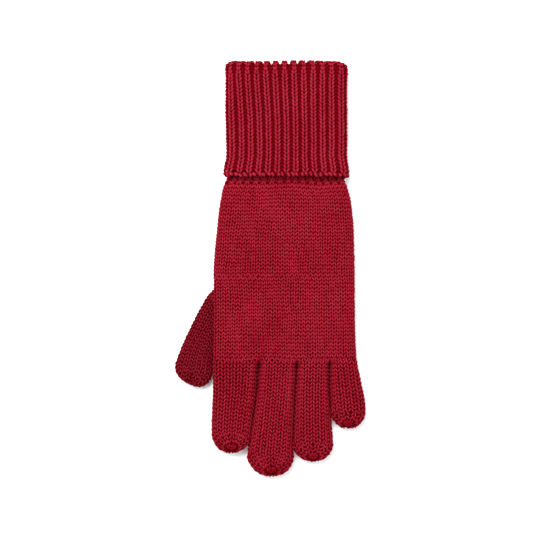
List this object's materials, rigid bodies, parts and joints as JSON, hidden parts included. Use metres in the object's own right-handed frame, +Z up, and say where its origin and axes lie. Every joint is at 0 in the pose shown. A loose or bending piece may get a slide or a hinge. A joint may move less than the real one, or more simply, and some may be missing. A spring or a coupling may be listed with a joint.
{
  "type": "knitted glove",
  "caption": "Left-hand knitted glove with four fingers, a thumb set into the palm side and a deep turned-up ribbed cuff, lying palm down.",
  "frame": {"origin": "middle of the palm's flat underside, on the surface that the glove lies on", "axes": "+X towards the little finger's side, +Y towards the cuff, +Z up out of the back of the hand"},
  "size_m": [0.1253, 0.2748, 0.017],
  "materials": {
    "plain_knit": "matt woollen stocking stitch",
    "thumb_knit": "matt woollen stocking stitch",
    "rib_knit": "matt woollen rib",
    "edges": "matt woollen cast-off and picked-up courses",
    "gathers": "matt woollen drawn-up yarn"
  },
  "bodies": {
    "hand": {"hand_tube": "plain_knit", "thumb_join": "edges", "fork_index_middle": "gathers", "fork_middle_ring": "gathers", "fork_ring_little": "gathers", "wrist_join": "edges", "cuff_inner_rib": "rib_knit"},
    "turnup": {"turnup_rib": "rib_knit", "turnup_edge": "edges", "turnup_fold": "rib_knit"},
    "index_root": {"index_base": "plain_knit"},
    "index_end": {"index_tip": "plain_knit", "index_gather": "gathers"},
    "middle_root": {"middle_base": "plain_knit"},
    "middle_end": {"middle_tip": "plain_knit", "middle_gather": "gathers"},
    "ring_root": {"ring_base": "plain_knit"},
    "ring_end": {"ring_tip": "plain_knit", "ring_gather": "gathers"},
    "little_root": {"little_base": "plain_knit"},
    "little_end": {"little_tip": "plain_knit", "little_gather": "gathers"},
    "thumb_root": {"thumb_base": "thumb_knit"},
    "thumb_end": {"thumb_tip": "thumb_knit", "thumb_gather": "gathers"}
  },
  "joints": [
    {"name": "cuff_unroll", "type": "slide", "parent": "hand", "child": "turnup", "axis": [0, 1, 0], "range_m": [0, 0.072]},
    {"name": "index_bend", "type": "hinge", "parent": "hand", "child": "index_root", "pos_m": [-0.03235, -0.0607, 0], "axis": [1, 0, 0], "range_deg": [0, 90]},
    {"name": "index_curl", "type": "hinge", "parent": "index_root", "child": "index_end", "pos_m": [-0.03417, -0.08918, 0], "axis": [1, 0, 0], "range_deg": [0, 100]},
    {"name": "middle_bend", "type": "hinge", "parent": "hand", "child": "middle_root", "pos_m": [-0.0045, -0.0607, 0], "axis": [1, 0, 0], "range_deg": [0, 90]},
    {"name": "middle_curl", "type": "hinge", "parent": "middle_root", "child": "middle_end", "pos_m": [-0.00754, -0.09642, 0], "axis": [1, 0, 0], "range_deg": [0, 100]},
    {"name": "ring_bend", "type": "hinge", "parent": "hand", "child": "ring_root", "pos_m": [0.0189, -0.0607, 0], "axis": [1, 0, 0], "range_deg": [0, 90]},
    {"name": "ring_curl", "type": "hinge", "parent": "ring_root", "child": "ring_end", "pos_m": [0.01885, -0.09177, 0], "axis": [1, 0, 0], "range_deg": [0, 100]},
    {"name": "little_bend", "type": "hinge", "parent": "hand", "child": "little_root", "pos_m": [0.03875, -0.0607, 0], "axis": [1, 0, 0], "range_deg": [0, 90]},
    {"name": "little_curl", "type": "hinge", "parent": "little_root", "child": "little_end", "pos_m": [0.04097, -0.08055, 0], "axis": [1, 0, 0], "range_deg": [0, 100]},
    {"name": "thumb_swing", "type": "hinge", "parent": "hand", "child": "thumb_root", "pos_m": [-0.0363, -0.018, 0], "axis": [0, 0, -1], "range_deg": [0, 40]},
    {"name": "thumb_curl", "type": "hinge", "parent": "thumb_root", "child": "thumb_end", "pos_m": [-0.04838, -0.04215, 0], "axis": [0.8944, -0.4472, 0], "range_deg": [0, 80]}
  ]
}
